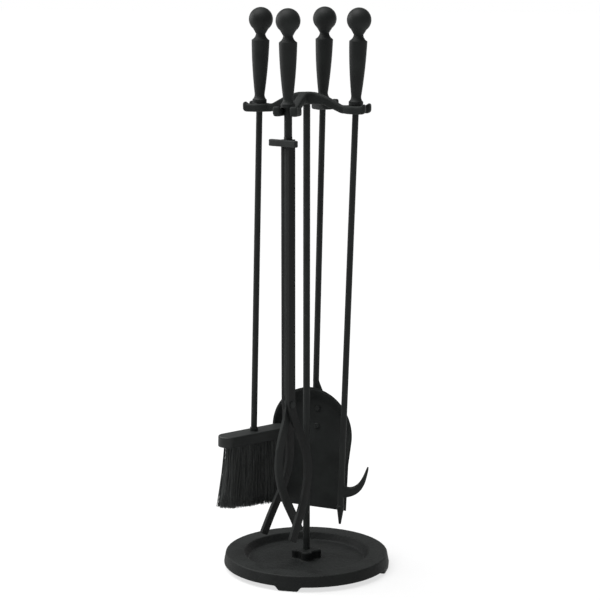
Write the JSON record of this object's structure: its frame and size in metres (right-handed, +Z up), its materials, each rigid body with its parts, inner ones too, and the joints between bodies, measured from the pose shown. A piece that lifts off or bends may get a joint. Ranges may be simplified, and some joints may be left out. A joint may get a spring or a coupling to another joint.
{
  "type": "fireplace tool set",
  "caption": "Fireplace tool set: footed round base and post with an arm hanger, carrying a lift-off brush, tongs, shovel and poker with ball-ended handles.",
  "frame": {"origin": "where the post's axis meets the floor, level with the underside of the feet", "axes": "+Z up along the post; +X along the arm that carries the poker; +Y along the arm that carries the shovel"},
  "size_m": [0.2327, 0.2316, 0.7751],
  "materials": {
    "cast_iron": "matte black powder coat on rough casting",
    "wrought_steel": "matte black powder coat",
    "handle": "matte black powder coat",
    "fastener": "black oxide",
    "brush_wood": "black satin paint",
    "bristle": "black fibre"
  },
  "bodies": {
    "stand": {"base": "cast_iron", "post": "wrought_steel", "hanger": "cast_iron", "base_washer": "fastener", "base_nut": "fastener"},
    "brush": {"brush_grip": "handle", "brush_ball": "handle", "brush_rod": "wrought_steel", "brush_block": "brush_wood", "brush_bristles": "bristle"},
    "tongs": {"tongs_grip": "handle", "tongs_ball": "handle", "tongs_rod": "wrought_steel", "tongs_centre_arm": "wrought_steel", "tongs_pivot_rivet": "wrought_steel"},
    "tongs_jaw": {"tongs_left_arm": "wrought_steel", "tongs_right_arm": "wrought_steel", "tongs_crossbar": "wrought_steel"},
    "shovel": {"shovel_grip": "handle", "shovel_ball": "handle", "shovel_rod": "wrought_steel", "shovel_pan": "wrought_steel", "shovel_rivets": "wrought_steel"},
    "poker": {"poker_grip": "handle", "poker_ball": "handle", "poker_rod": "wrought_steel", "poker_hook": "wrought_steel"}
  },
  "joints": [
    {"name": "brush_lift", "type": "slide", "parent": "stand", "child": "brush", "axis": [-0.6428, 0, 0.766], "range_m": [0, 0.25]},
    {"name": "tongs_lift", "type": "slide", "parent": "stand", "child": "tongs", "axis": [0, -0.6428, 0.766], "range_m": [0, 0.25]},
    {"name": "shovel_lift", "type": "slide", "parent": "stand", "child": "shovel", "axis": [0, 0.6428, 0.766], "range_m": [0, 0.25]},
    {"name": "poker_lift", "type": "slide", "parent": "stand", "child": "poker", "axis": [0.6428, 0, 0.766], "range_m": [0, 0.25]},
    {"name": "tongs_open", "type": "hinge", "parent": "tongs", "child": "tongs_jaw", "pos_m": [-0.0008, -0.0698, 0.248], "axis": [0.9272, -0.3746, 0], "range_deg": [0, 18]}
  ]
}
